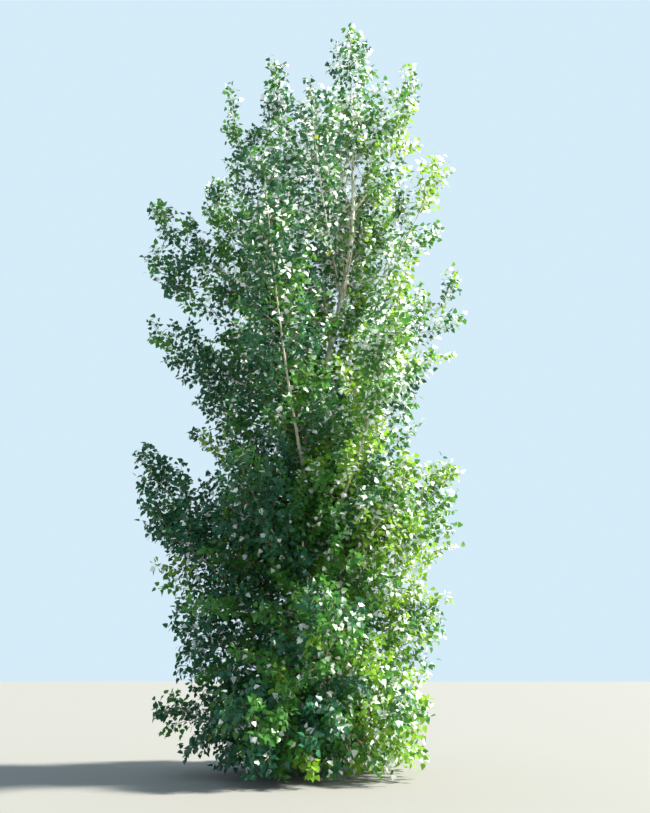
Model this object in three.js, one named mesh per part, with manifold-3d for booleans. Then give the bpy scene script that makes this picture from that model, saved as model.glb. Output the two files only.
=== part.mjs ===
// A tall poplar in full leaf, as an assembly of solids: one trunk, its main boughs and the masses of
// foliage that they carry. Millimetres, +Z up. The origin is the middle of the flat cut at ground level,
// +X is the tree's right as it is seen from the front, and +Y points away from that viewer.
// Each limb is one tapering curve from the trunk to a tip of the crown. Its lower part is a bough, and
// its last stretch is the stem of a mass, which branches into sprays. A blade is one leaf, larger than
// life, and stands for the leaves of a whole shoot.
import * as THREE from "three";
import { mergeVertices } from "three/addons/utils/BufferGeometryUtils.js";
import Module from "manifold-3d";

const wasm = await Module();
wasm.setup();
const { Manifold, Mesh: SolidMesh } = wasm;

// Trunk
const TREE_HEIGHT = 16000;
const TRUNK_TOP = 13900;
const TRUNK_RADIUS = 118;
const TRUNK_VANISHES = 16300;
const TRUNK_TAPER = 1.05;
const LOWER_BOW = 100;
const LOWER_BOW_ENDS = 8400;
const UPPER_SHIFT = 720;
const UPPER_SHIFT_FROM = 5600;
const UPPER_SHIFT_TO = 11200;
const DEPTH_SWAY = 130;
const DEPTH_SWAY_LENGTH = 13000;
const FLARE_RADIUS = 62;
const FLARE_HEIGHT = 230;
const FLARE_LOBES = 5;
const FLARE_LOBE_SHARE = 0.35;
const TRUNK_SIDES = 10;
const FLARE_RINGS = [0, 70, 160, 290, 480, 780];
const TRUNK_RING_STEP = 780;

// Limbs
const JOINT_GAP = 0.3;
const LEADER_GAP = 1.2;
const SHORTEST_BOUGH = 0.3;
const BOUGH_SIDES = 5;
const BOUGH_RING_STEP = 620;
const BOUGH_SHARE_OF_TRUNK = 0.58;
const BOUGH_RADIUS_PER_LENGTH = 0.0085;
const BOUGH_END_SHARE = 0.45;
const STEM_SIDES = 4;
const STEM_RING_STEP = 1000;
const STEM_START_SHARE = 0.7;
const STEM_END_RADIUS = 12;
const ELBOW_OUT = 0.6;
const ELBOW_UP = 0.3;

// Each bough's tip: across, depth and height above the ground, then the height at which it leaves the
// trunk.
const BOUGH_TIPS = {
  right_crest: [2180, 300, 15060, 10900],
  right_high: [2600, -450, 12050, 8200],
  right_shoulder: [2960, 550, 9650, 6550],
  right_waist: [1700, -850, 7250, 4300],
  right_low: [2520, 250, 5450, 2700],
  centre_leader: [-960, -600, 14300, 4900],
  left_crest: [-2060, -250, 13950, 7900],
  left_high: [-2340, 750, 12000, 7000],
  left_spur_top: [-3650, 350, 11250, 8350],
  left_spur_middle: [-3500, -300, 9750, 7450],
  left_spur_low: [-3550, 900, 8650, 6600],
  left_waist: [-2400, 700, 7900, 3900],
  left_arm_upper: [-3480, 100, 5650, 2900],
  left_arm_lower: [-3050, -450, 4500, 2500],
  front_high: [-200, -2050, 12650, 8900],
  back_high: [500, 2150, 13500, 9300],
  front_middle: [-1000, -2750, 10500, 4550],
  back_middle: [1850, 2300, 10600, 5600],
  front_right: [1500, -2650, 8300, 3600],
  back_left: [-1850, 2400, 9300, 4350],
};

// Masses
const BOUGH_MASS_LENGTH = 5400;
const BOUGH_MASS_WIDTH = 2200;
const CREST_MASS_WIDTH = 1300;
const CREST_FROM = 13600;
const TOP_MASS_WIDTH = 1300;
const FAR_TIP = 3000;
const FAR_MASS_WIDTH = 1900;
const SPINDLE_SKEW = 0.62;
const SPINDLE_FULLNESS = 0.7;
const SPINDLE_LEAST = 0.3;
const PAST_THE_TIP = 1.03;
const GROUND_CLEARANCE = 40;
const SPACE_GAP = 4;

// The masses that grow straight from the trunk stand in rings: how many, how far out their tips are
// and how far to one side, the heights of tips and roots, and how far the ring is turned.
const TRUNK_RINGS = [
  { name: "skirt", count: 5, reach: 2400, shift: -300, tip: 1050, root: 520, width: 2400, turn: 178 },
  { name: "lower", count: 4, reach: 2250, shift: -100, tip: 2750, root: 1250, width: 2600, turn: 12 },
  { name: "middle", count: 4, reach: 2200, shift: 0, tip: 5100, root: 3200, width: 2400, turn: 55 },
];
// Above them a spiral of inner masses fills the middle of the crown.
const SPIRAL = { count: 5, reach: 950, firstTip: 6000, lastTip: 13900, stemRise: 2300, width: 2300 };

// Sprays and blades. Shares run along the stem or the twig that carries them, from its root to its tip.
const GOLDEN_ANGLE = 2.39996;
const SEED_STEP = 7919;
const TURNS_TRIED = 8;
const SHRINK_STEPS = [1, 0.85, 0.7, 0.55, 0.42];
const SPRAYS_IN_A_MASS = 4;
const SPRAY_SHARES = { lowest: 0.15, highest: 0.7 };
const SPRAY_ANGLES = { lowest: 1.1, highest: 0.65 };
const SHORTEST_TWIG = 240;
const TWIG_RADIUS = 10;
const TWIG_SIDES = 3;
const BLADES_ON_A_SPRAY = 2;
const SPRAY_BLADE_SHARES = { lowest: 0.4, highest: 0.9 };
const BLADES_ON_A_STEM = 5;
const STEM_BLADE_SHARES = { lowest: 0.15, highest: 0.9 };
const BLADE_ANGLE = 1.05;
const BLADE_LENGTH = 820;
const TIP_BLADE_LENGTH = 560;
const BLADE_WIDTH = 0.95;
const BLADE_SHOULDER = 0.36;
const BLADE_THICKNESS = 0.025;

// Corners closer than this are one.
const MERGE_DISTANCE = 0.001;
// The least sine of a direction's angle from the upright for which it still has a side of its own.
const NEARLY_UPRIGHT = 0.1;
const UP = new THREE.Vector3(0, 0, 1);
const AWAY = new THREE.Vector3(0, 1, 0);

const bark = new THREE.MeshStandardMaterial({ color: 0x8f8678, roughness: 0.9, metalness: 0 });
const boughBark = new THREE.MeshStandardMaterial({ color: 0xa39a86, roughness: 0.85, metalness: 0 });
const leafGreen = new THREE.MeshStandardMaterial({ color: 0x3f7a2c, roughness: 0.45, metalness: 0 });

// A repeatable stream of numbers from 0 to 1.
function seeded(seed) {
  let state = seed >>> 0;
  return () => {
    state = (state + 0x6d2b79f5) >>> 0;
    let mixed = Math.imul(state ^ (state >>> 15), 1 | state);
    mixed = (mixed + Math.imul(mixed ^ (mixed >>> 7), 61 | mixed)) ^ mixed;
    return ((mixed ^ (mixed >>> 14)) >>> 0) / 4294967296;
  };
}

function solidFrom(geometry) {
  const bare = geometry.index ? geometry.toNonIndexed() : geometry.clone();
  bare.deleteAttribute("normal");
  bare.deleteAttribute("uv");
  const merged = mergeVertices(bare, MERGE_DISTANCE);
  return new Manifold(
    new SolidMesh({
      numProp: 3,
      vertProperties: merged.attributes.position.array,
      triVerts: new Uint32Array(merged.index.array),
    }),
  );
}

function geometryFrom(solid) {
  const mesh = solid.getMesh();
  const geometry = new THREE.BufferGeometry();
  geometry.setAttribute("position", new THREE.BufferAttribute(new Float32Array(mesh.vertProperties), 3));
  geometry.setIndex(new THREE.BufferAttribute(new Uint32Array(mesh.triVerts), 1));
  geometry.computeVertexNormals();
  return geometry;
}

function cornersOf(solid) {
  const { vertProperties } = solid.getMesh();
  const corners = [];
  for (let i = 0; i < vertProperties.length; i += 3) {
    corners.push(new THREE.Vector3().fromArray(vertProperties, i));
  }
  return corners;
}

// The largest piece of a solid, so that a loose scrap is dropped and a sealed hollow is filled.
function mainPiece(solid) {
  return solid.decompose().reduce((best, piece) => (piece.volume() > best.volume() ? piece : best));
}

// Bends a cylinder's grid of vertices: each one's station along it and its angle go to a point.
function bentCylinder(sides, stations, pointAt) {
  const rings = stations.length - 1;
  const geometry = new THREE.CylinderGeometry(1, 1, rings, sides, rings);
  const place = geometry.attributes.position;
  for (let i = 0; i < place.count; i += 1) {
    const ring = Math.round(place.getY(i) + rings / 2);
    const out = Math.round(Math.hypot(place.getX(i), place.getZ(i)));
    const angle = Math.atan2(place.getX(i), place.getZ(i));
    const point = pointAt(stations[ring], angle, out);
    place.setXYZ(i, point.x, point.y, point.z);
  }
  return geometry;
}

// The trunk's middle: a slight bow to the left low down, then a sweep to the right.
function trunkMiddle(height) {
  const bow = -LOWER_BOW * Math.sin((Math.PI * Math.min(height, LOWER_BOW_ENDS)) / LOWER_BOW_ENDS);
  const shift = UPPER_SHIFT * THREE.MathUtils.smoothstep(height, UPPER_SHIFT_FROM, UPPER_SHIFT_TO);
  const sway = DEPTH_SWAY * Math.sin((2 * Math.PI * height) / DEPTH_SWAY_LENGTH);
  return new THREE.Vector3(bow + shift, sway, height);
}

function trunkRadius(height) {
  return TRUNK_RADIUS * (1 - height / TRUNK_VANISHES) ** TRUNK_TAPER;
}

function trunkSolid(grown) {
  const heights = [...FLARE_RINGS];
  const last = FLARE_RINGS[FLARE_RINGS.length - 1];
  const steps = Math.round((TRUNK_TOP - last) / TRUNK_RING_STEP);
  for (let i = 1; i <= steps; i += 1) heights.push(last + ((TRUNK_TOP - last) * i) / steps);
  return solidFrom(
    bentCylinder(TRUNK_SIDES, heights, (height, angle, out) => {
      const lobes = 1 + FLARE_LOBE_SHARE * Math.cos(FLARE_LOBES * angle);
      const flare = FLARE_RADIUS * Math.exp(-height / FLARE_HEIGHT) * lobes;
      const radius = out * (trunkRadius(height) + flare + grown);
      const spoke = new THREE.Vector3(Math.sin(angle), -Math.cos(angle), 0);
      return trunkMiddle(height).addScaledVector(spoke, radius);
    }),
  );
}

// The top mass's stem goes on along the trunk's own line.
class LeaderCurve extends THREE.Curve {
  getPoint(share) {
    return trunkMiddle(THREE.MathUtils.lerp(TRUNK_TOP + LEADER_GAP, TREE_HEIGHT, share));
  }
}

// A limb leaves the trunk outwards and turns up towards its tip, all in one upright plane.
function limbCurve(tip, rootHeight) {
  const root = trunkMiddle(rootHeight);
  const elbow = root.clone();
  elbow.x += (tip.x - root.x) * ELBOW_OUT;
  elbow.y += (tip.y - root.y) * ELBOW_OUT;
  elbow.z += (tip.z - root.z) * ELBOW_UP;
  return new THREE.QuadraticBezierCurve3(root, elbow, tip);
}

function limbRings(curve, from, to, ringStep) {
  return Math.max(2, Math.round((curve.getLength() * (to - from)) / ringStep));
}

// A round limb along the stretch of a curve between two shares of its length, tapering evenly.
function limbSolid(curve, from, to, startRadius, endRadius, sides, ringStep) {
  const rings = limbRings(curve, from, to, ringStep);
  const shares = Array.from({ length: rings + 1 }, (_, i) => i / rings);
  const chord = curve.getPointAt(1).sub(curve.getPointAt(0));
  const side = new THREE.Vector3().crossVectors(chord, UP);
  if (side.length() < chord.length() * NEARLY_UPRIGHT) side.copy(AWAY);
  return solidFrom(
    bentCylinder(sides, shares, (share, angle, out) => {
      const at = THREE.MathUtils.lerp(from, to, share);
      const tangent = curve.getTangentAt(at);
      const second = new THREE.Vector3().crossVectors(side, tangent).normalize();
      const first = new THREE.Vector3().crossVectors(tangent, second);
      const radius = out * THREE.MathUtils.lerp(startRadius, endRadius, share);
      return curve
        .getPointAt(at)
        .addScaledVector(first, radius * Math.sin(angle))
        .addScaledVector(second, radius * Math.cos(angle));
    }),
  );
}

// Every mass as a plan: its curve, the share of it that is the mass's stem, and its width.
function planMasses() {
  const plans = [];
  for (const [name, [across, depth, height, rootHeight]] of Object.entries(BOUGH_TIPS)) {
    const curve = limbCurve(new THREE.Vector3(across, depth, height), rootHeight);
    const from = Math.max(SHORTEST_BOUGH, 1 - BOUGH_MASS_LENGTH / curve.getLength());
    const isCrest = height > CREST_FROM;
    const isFar = Math.abs(across) > FAR_TIP;
    const width = isCrest ? CREST_MASS_WIDTH : isFar ? FAR_MASS_WIDTH : BOUGH_MASS_WIDTH;
    plans.push({ name: `foliage_${name}`, bough: `bough_${name}`, curve, from, width, rootHeight });
  }
  for (const ring of TRUNK_RINGS) {
    for (let i = 0; i < ring.count; i += 1) {
      const bearing = THREE.MathUtils.degToRad(ring.turn + (360 * i) / ring.count);
      const tip = trunkMiddle(ring.tip);
      tip.x += ring.reach * Math.cos(bearing) + ring.shift;
      tip.y += ring.reach * Math.sin(bearing);
      const curve = limbCurve(tip, ring.root);
      const name = `foliage_${ring.name}_${i + 1}`;
      plans.push({ name, curve, from: 0, width: ring.width, rootHeight: ring.root });
    }
  }
  for (let i = 0; i < SPIRAL.count; i += 1) {
    const height = THREE.MathUtils.lerp(SPIRAL.firstTip, SPIRAL.lastTip, i / (SPIRAL.count - 1));
    const tip = trunkMiddle(height);
    tip.x += SPIRAL.reach * Math.cos(GOLDEN_ANGLE * i);
    tip.y += SPIRAL.reach * Math.sin(GOLDEN_ANGLE * i);
    const rootHeight = height - SPIRAL.stemRise;
    const curve = limbCurve(tip, rootHeight);
    plans.push({ name: `foliage_inner_${i + 1}`, curve, from: 0, width: SPIRAL.width, rootHeight });
  }
  const leader = new LeaderCurve();
  plans.push({ name: "foliage_top", curve: leader, from: 0, width: TOP_MASS_WIDTH, rootHeight: TRUNK_TOP });
  return plans.map((plan, index) => {
    const start = plan.curve.getPointAt(plan.from);
    const tip = plan.curve.getPointAt(1);
    return { ...plan, index, start, tip, axis: tip.clone().sub(start) };
  });
}

// How wide a mass is at a share of its length: widest a third of the way up, and drawn in at the tip.
function spindle(share) {
  const inside = THREE.MathUtils.clamp(share, 0, 1);
  return Math.sin(Math.PI * inside ** SPINDLE_SKEW) ** SPINDLE_FULLNESS;
}

function nearestOnStem(plan, point) {
  const along = point.clone().sub(plan.start).dot(plan.axis) / plan.axis.lengthSq();
  const share = THREE.MathUtils.clamp(along, 0, 1);
  const away = point.distanceTo(plan.start.clone().addScaledVector(plan.axis, share));
  return { along, away };
}

// A mass's own space is what lies nearer to its stem than to any other, within its spindle.
function inOwnSpace(corners, plan, plans) {
  return corners.every((corner) => {
    const { along, away } = nearestOnStem(plan, corner);
    const room = (plan.width / 2) * Math.max(spindle(along), SPINDLE_LEAST);
    const inSpindle = along <= PAST_THE_TIP && away <= room;
    if (corner.z < GROUND_CLEARANCE || corner.z > TREE_HEIGHT || !inSpindle) return false;
    return plans.every((other) => other === plan || nearestOnStem(other, corner).away > away + SPACE_GAP);
  });
}

// A direction at an angle from another one, turned about it.
function sideways(direction, angle, turn) {
  const across = new THREE.Vector3().crossVectors(direction, UP);
  if (across.length() < NEARLY_UPRIGHT) across.crossVectors(AWAY, direction);
  across.normalize().applyAxisAngle(direction, turn);
  return direction.clone().multiplyScalar(Math.cos(angle)).addScaledVector(across, Math.sin(angle));
}

// A blade has a poplar leaf's outline, broad shoulders near its foot and a long point. It is a
// tetrahedron: a ridge runs from its foot to its tip, above the edge between its shoulders.
function bladeSolid(foot, direction, across, length) {
  const normal = new THREE.Vector3().crossVectors(across, direction);
  const tip = foot.clone().addScaledVector(direction, length);
  const middle = foot.clone().addScaledVector(direction, length * BLADE_SHOULDER);
  middle.addScaledVector(normal, -length * BLADE_THICKNESS);
  const half = (length * BLADE_WIDTH) / 2;
  const left = middle.clone().addScaledVector(across, -half);
  const right = middle.clone().addScaledVector(across, half);
  const geometry = new THREE.TetrahedronGeometry(1);
  const place = geometry.attributes.position;
  for (let i = 0; i < place.count; i += 1) {
    const ends = place.getX(i) > 0 ? [foot, left] : [right, tip];
    const corner = place.getY(i) > 0 ? ends[0] : ends[1];
    place.setXYZ(i, corner.x, corner.y, corner.z);
  }
  return solidFrom(geometry);
}

// A spray is a three-sided twig that widens at its end into a blade, all in one piece.
function spraySolid(root, direction, across, twigLength, bladeLength) {
  const stations = [
    { at: 0, wide: TWIG_RADIUS, deep: TWIG_RADIUS },
    { at: twigLength, wide: TWIG_RADIUS, deep: TWIG_RADIUS },
    {
      at: twigLength + bladeLength * BLADE_SHOULDER,
      wide: (bladeLength * BLADE_WIDTH) / 2,
      deep: bladeLength * BLADE_THICKNESS,
    },
    { at: twigLength + bladeLength, wide: 0, deep: 0 },
  ];
  const normal = new THREE.Vector3().crossVectors(across, direction);
  const sideAngle = (2 * Math.PI) / TWIG_SIDES;
  return solidFrom(
    bentCylinder(TWIG_SIDES, stations, ({ at, wide, deep }, angle, out) =>
      root
        .clone()
        .addScaledVector(direction, at)
        .addScaledVector(across, (out * wide * Math.sin(angle)) / Math.sin(sideAngle))
        .addScaledVector(normal, out * deep * Math.cos(angle)),
    ),
  );
}

// The growth of one mass. What would leave the mass's space, or come near another piece, is turned, then
// made smaller, until it fits. Otherwise it is left out.
class MassGrowth {
  constructor(plan, plans, stem, others) {
    this.plan = plan;
    this.plans = plans;
    this.stem = stem;
    this.others = others;
    this.random = seeded(plan.index * SEED_STEP + 1);
    this.grown = [stem];
  }

  // The middle of the stem, which runs straight from each of its rings to the next.
  pointAt(share) {
    const { curve, from } = this.plan;
    const rings = limbRings(curve, from, 1, STEM_RING_STEP);
    const ring = Math.min(Math.floor(share * rings), rings - 1);
    const below = curve.getPointAt(THREE.MathUtils.lerp(from, 1, ring / rings));
    const above = curve.getPointAt(THREE.MathUtils.lerp(from, 1, (ring + 1) / rings));
    return below.lerp(above, share * rings - ring);
  }

  tangentAt(share) {
    return this.plan.curve.getTangentAt(THREE.MathUtils.lerp(this.plan.from, 1, share));
  }

  // Whether a solid keeps to the mass's space and clear of all that it doesn't grow from.
  fits(solid, parent) {
    const isClear = (other) => other === parent || other.minGap(solid, SPACE_GAP) >= SPACE_GAP;
    if (!inOwnSpace(cornersOf(solid), this.plan, this.plans)) return false;
    return isClear(this.others) && this.grown.every(isClear);
  }

  // Makes a piece at each size and turn until one fits, and returns it.
  graft(parent, make) {
    for (const shrink of SHRINK_STEPS) {
      for (let i = 0; i < TURNS_TRIED; i += 1) {
        const made = make(shrink, (i * 2 * Math.PI) / TURNS_TRIED);
        if (this.fits(made.solid, parent)) {
          this.grown.push(made.solid);
          return made;
        }
      }
    }
    return null;
  }

  addTipBlade() {
    const stemLength = this.plan.curve.getLength() * (1 - this.plan.from);
    const foot = this.pointAt(1 - TIP_BLADE_LENGTH / stemLength);
    const direction = this.plan.tip.clone().sub(foot).normalize();
    const across = sideways(direction, Math.PI / 2, this.random() * Math.PI);
    this.graft(this.stem, (shrink) => ({
      solid: bladeSolid(foot, direction, across, TIP_BLADE_LENGTH * shrink),
    }));
  }

  // A spray reaches from the stem to the edge of the mass.
  addSpray(order) {
    const height = order / (SPRAYS_IN_A_MASS - 1);
    const share = THREE.MathUtils.lerp(SPRAY_SHARES.lowest, SPRAY_SHARES.highest, height);
    const angle = THREE.MathUtils.lerp(SPRAY_ANGLES.lowest, SPRAY_ANGLES.highest, share);
    const reach = ((this.plan.width / 2) * spindle(share)) / Math.sin(angle);
    const start = GOLDEN_ANGLE * order + this.plan.index;
    const roll = this.random() * Math.PI;
    const root = this.pointAt(share);
    return this.graft(this.stem, (shrink, turn) => {
      const direction = sideways(this.tangentAt(share), angle, start + turn);
      const across = sideways(direction, Math.PI / 2, roll);
      const length = Math.max(reach * shrink - BLADE_LENGTH, SHORTEST_TWIG);
      const solid = spraySolid(root, direction, across, length, BLADE_LENGTH * shrink);
      return { solid, root, direction, length };
    });
  }

  // Blades stand round the twig or stem that carries them, at the golden angle, from its tip to its root.
  addBlades(parent, count, shares, pointAt, tangentAt) {
    for (let i = 0; i < count; i += 1) {
      const share = THREE.MathUtils.lerp(shares.highest, shares.lowest, i / (count - 1));
      const start = GOLDEN_ANGLE * i + this.random();
      this.graft(parent, (shrink, turn) => {
        const tangent = tangentAt(share);
        const direction = sideways(tangent, BLADE_ANGLE, start + turn);
        const across = new THREE.Vector3().crossVectors(direction, tangent).normalize();
        return { solid: bladeSolid(pointAt(share), direction, across, BLADE_LENGTH * shrink) };
      });
    }
  }

  grow() {
    this.addTipBlade();
    const orders = Array.from({ length: SPRAYS_IN_A_MASS }, (_, order) => order);
    const sprays = orders.map((order) => this.addSpray(order)).filter((spray) => spray);
    for (const { solid, root, direction, length } of sprays) {
      const pointAt = (share) => root.clone().addScaledVector(direction, length * share);
      this.addBlades(solid, BLADES_ON_A_SPRAY, SPRAY_BLADE_SHARES, pointAt, () => direction);
    }
    const stemPointAt = (share) => this.pointAt(share);
    const stemTangentAt = (share) => this.tangentAt(share);
    this.addBlades(this.stem, BLADES_ON_A_STEM, STEM_BLADE_SHARES, stemPointAt, stemTangentAt);
    return mainPiece(Manifold.union(this.grown));
  }
}

function boughRadius(plan) {
  const fromLength = plan.curve.getLength() * BOUGH_RADIUS_PER_LENGTH + STEM_END_RADIUS;
  return Math.min(trunkRadius(plan.rootHeight) * BOUGH_SHARE_OF_TRUNK, fromLength);
}

function build() {
  const tree = new THREE.Group();
  const add = (name, solid, material) => {
    const mesh = new THREE.Mesh(geometryFrom(solid), material);
    mesh.name = name;
    tree.add(mesh);
  };
  const plans = planMasses();
  const trunk = trunkSolid(0);
  const trunkRoom = trunkSolid(JOINT_GAP);
  add("trunk", trunk, bark);
  const limbs = [trunk];
  const stems = plans.map((plan) => {
    const { curve, from } = plan;
    const rootRadius = boughRadius(plan);
    if (plan.bough) {
      const gap = JOINT_GAP / curve.getLength();
      const endRadius = rootRadius * BOUGH_END_SHARE;
      const whole = limbSolid(curve, 0, from, rootRadius, endRadius, BOUGH_SIDES, BOUGH_RING_STEP);
      const bough = mainPiece(whole.subtract(trunkRoom));
      limbs.push(bough);
      add(plan.bough, bough, boughBark);
      return limbSolid(curve, from + gap, 1, endRadius, STEM_END_RADIUS, STEM_SIDES, STEM_RING_STEP);
    }
    const start = plan.name === "foliage_top" ? trunkRadius(TRUNK_TOP) : rootRadius * STEM_START_SHARE;
    const stem = limbSolid(curve, 0, 1, start, STEM_END_RADIUS, STEM_SIDES, STEM_RING_STEP);
    return mainPiece(stem.subtract(trunkRoom));
  });
  plans.forEach((plan, index) => {
    const others = Manifold.compose([...limbs, ...stems.filter((_, i) => i !== index)]);
    const mass = new MassGrowth(plan, plans, stems[index], others).grow();
    stems[index] = mass;
    add(plan.name, mass, leafGreen);
  });
  return tree;
}

export default build();
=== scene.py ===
# A tall poplar in full leaf: barked trunk and limbs, twigs and single leaves. Metres, +Z up.
# The limbs and the spaces of the masses follow the same named sizes as the solids, and growth goes on
# from them to branchlets, shoots, leaf stalks and leaves.
from collections import namedtuple

import bpy
import numpy as np
from bpy.props import FloatProperty, FloatVectorProperty, IntProperty, PointerProperty
from bpy.types import Operator, Panel, PropertyGroup
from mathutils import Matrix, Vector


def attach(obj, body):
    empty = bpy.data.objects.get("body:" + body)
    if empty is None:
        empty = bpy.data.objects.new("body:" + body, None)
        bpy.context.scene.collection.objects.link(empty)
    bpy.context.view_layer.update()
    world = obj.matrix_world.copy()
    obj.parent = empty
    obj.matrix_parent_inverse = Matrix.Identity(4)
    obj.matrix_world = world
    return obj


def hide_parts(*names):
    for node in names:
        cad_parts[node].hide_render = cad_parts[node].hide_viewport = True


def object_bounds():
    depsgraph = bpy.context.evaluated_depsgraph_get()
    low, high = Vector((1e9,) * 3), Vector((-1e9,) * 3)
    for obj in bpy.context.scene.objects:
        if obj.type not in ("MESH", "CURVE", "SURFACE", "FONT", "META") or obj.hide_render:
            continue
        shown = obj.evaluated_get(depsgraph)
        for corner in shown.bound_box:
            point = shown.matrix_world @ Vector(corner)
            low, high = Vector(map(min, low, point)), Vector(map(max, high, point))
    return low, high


bl_info = {
    "name": "Poplar in full leaf",
    "version": (1, 0, 0),
    "blender": (4, 5, 0),
    "location": "View3D > Sidebar > Poplar",
    "description": "Bark, twigs and leaves of a tall poplar, grown on from its limbs",
    "category": "Add Mesh",
}

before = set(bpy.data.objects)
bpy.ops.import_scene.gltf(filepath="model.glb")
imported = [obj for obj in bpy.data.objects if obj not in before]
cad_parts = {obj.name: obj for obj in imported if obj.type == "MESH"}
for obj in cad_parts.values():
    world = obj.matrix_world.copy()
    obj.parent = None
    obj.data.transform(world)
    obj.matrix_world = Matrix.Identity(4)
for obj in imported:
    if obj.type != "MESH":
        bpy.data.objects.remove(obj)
CAD_LOW, CAD_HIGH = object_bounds()

# Trunk
TREE_HEIGHT = 16.0
TRUNK_TOP = 13.9
TRUNK_RADIUS = 0.118
TRUNK_VANISHES = 16.3
TRUNK_TAPER = 1.05
LOWER_BOW = 0.1
LOWER_BOW_ENDS = 8.4
UPPER_SHIFT = 0.72
UPPER_SHIFT_ENDS = (5.6, 11.2)
DEPTH_SWAY = 0.13
DEPTH_SWAY_LENGTH = 13.0
FLARE_RADIUS = 0.062
FLARE_HEIGHT = 0.23
FLARE_LOBES = 5
FLARE_LOBE_SHARE = 0.35

# Limbs
SHORTEST_BOUGH = 0.3
BOUGH_SHARE_OF_TRUNK = 0.58
BOUGH_RADIUS_PER_LENGTH = 0.0085
BOUGH_END_SHARE = 0.45
STEM_START_SHARE = 0.7
STEM_END_RADIUS = 0.012
ELBOW = (0.6, 0.6, 0.3)
LIMB_POINTS = 81

# Each bough's tip, across, away and up, and the height at which it leaves the trunk.
BOUGH_TIPS = {
    "right_crest": (2.18, 0.3, 15.06, 10.9),
    "right_high": (2.6, -0.45, 12.05, 8.2),
    "right_shoulder": (2.96, 0.55, 9.65, 6.55),
    "right_waist": (1.7, -0.85, 7.25, 4.3),
    "right_low": (2.52, 0.25, 5.45, 2.7),
    "centre_leader": (-0.96, -0.6, 14.3, 4.9),
    "left_crest": (-2.06, -0.25, 13.95, 7.9),
    "left_high": (-2.34, 0.75, 12.0, 7.0),
    "left_spur_top": (-3.65, 0.35, 11.25, 8.35),
    "left_spur_middle": (-3.5, -0.3, 9.75, 7.45),
    "left_spur_low": (-3.55, 0.9, 8.65, 6.6),
    "left_waist": (-2.4, 0.7, 7.9, 3.9),
    "left_arm_upper": (-3.48, 0.1, 5.65, 2.9),
    "left_arm_lower": (-3.05, -0.45, 4.5, 2.5),
    "front_high": (-0.2, -2.05, 12.65, 8.9),
    "back_high": (0.5, 2.15, 13.5, 9.3),
    "front_middle": (-1.0, -2.75, 10.5, 4.55),
    "back_middle": (1.85, 2.3, 10.6, 5.6),
    "front_right": (1.5, -2.65, 8.3, 3.6),
    "back_left": (-1.85, 2.4, 9.3, 4.35),
}

# Masses
BOUGH_MASS_LENGTH = 5.4
BOUGH_MASS_WIDTH = 2.2
CREST_MASS_WIDTH = 1.3
CREST_FROM = 13.6
TOP_MASS_WIDTH = 1.3
FAR_TIP = 3.0
FAR_MASS_WIDTH = 1.9
SPINDLE_SKEW = 0.62
SPINDLE_FULLNESS = 0.7
SPINDLE_LEAST = 0.3
PAST_THE_TIP = 1.03
# Rings of masses on the trunk: their names and number, how far out and to the right their tips are, the
# heights of tips and roots, the masses' width, and how far the ring is turned.
TRUNK_RINGS = (
    ("skirt", 5, 2.4, -0.3, 1.05, 0.52, 2.4, 178),
    ("lower", 4, 2.25, -0.1, 2.75, 1.25, 2.6, 12),
    ("middle", 4, 2.2, 0, 5.1, 3.2, 2.4, 55),
)
# The inner spiral: its number of masses, their reach, first and last tip, rise of the stem, and width.
SPIRAL = (5, 0.95, 6.0, 13.9, 2.3, 2.3)
GOLDEN_ANGLE = 2.39996

# Twigs and leaves grow past a mass's own space by these, so that the masses close up to one crown.
SPACE_WIDENED = 1.05
SPACE_OVERLAP = 0.45
REACH_MARGIN = 0.09
LEAF_CLEARANCE = 0.05
# Between these heights the crown turns from its foot, where twigs have more room, to its body.
FOOT_HEIGHTS = (2.5, 6.0)
FOOT_ROOM = 1.3
HANG_LOW_DOWN = -0.15
HANG_ENDS = (1.0, 4.0)
SHRINK_STEPS = (1, 0.85, 0.7, 0.55, 0.4)

# Twigs: the stretch of the carrier that they stand on, in shares, their angles at its two ends, how far
# angles, turns and lengths vary, and their points and sides.
Twigs = namedtuple("Twigs", "stretch angles angles_vary turns_vary lengths_vary points sides")
BRANCHLETS = Twigs((0.03, 0.99), (1.1, 0.5), (0.85, 1.1), 0.25, (0.5, 1.08), 5, 4)
SHOOTS = Twigs((0.12, 0.97), (0.95, 0.45), (0.8, 1.2), 0.3, (0.6, 1.1), 3, 3)
SHOOT_MOST = 0.8
TWIG_END_SHARE = 0.4
# Room for branchlets past a stem's tip, and its share at the tip of a far mass.
TIP_ROOM = 0.14
FAR_TIP_ROOM = 0.4
# The shares of branchlets kept at a stem's tip, in far masses and on the crown's sunny side.
TIP_KEPT = 0.4
FAR_KEPT = 0.8
SUNNY_KEPT = 0.62
SUNNY_FROM_TO = (0.2, 1.6)
SUNNY_HEIGHTS = (5.0, 8.0)
# Branchlets stand closer together on the lowest limbs.
LOW_STEP_SHARE = 0.4
LOW_LIMBS_END = (3.0, 9.0)
# Inner ones stand on the boughs, from this share of their bare stretch, and on the trunk. Their reaches
# are those low down and high up.
INNER_FROM = 0.25
TRUNK_TWIGS = (0.04, 0.98)
INNER_REACH = (1.8, 0.9)

# Leaves stand on shoots, branchlets and stem tips, from these shares of their lengths on.
LEAVES_FROM = (0.12, 0.45, 0.05)
STEM_TIP_FROM = 0.62
STEM_TIP_POINTS = 5
FIRST_LEAF = 0.6
TURN_BY_CARRIER = 1.7
STALK_ANGLES = (0.7, 1.25)
STALK_TURNS_VARY = 0.3
STALK_LENGTHS_VARY = (0.7, 1.4)
BLADE_DROOP = 0.45
BLADE_VARIES = 0.35
FACES_UP = 0.5
FACES_OUT = 0.45
FACES_VARY = 0.55
BLADE_WIDTHS = (0.86, 1.06)
BLADE_CURLS = (-0.4, 1.6)
BETA_OF_LENGTHS = (2, 2)
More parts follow.
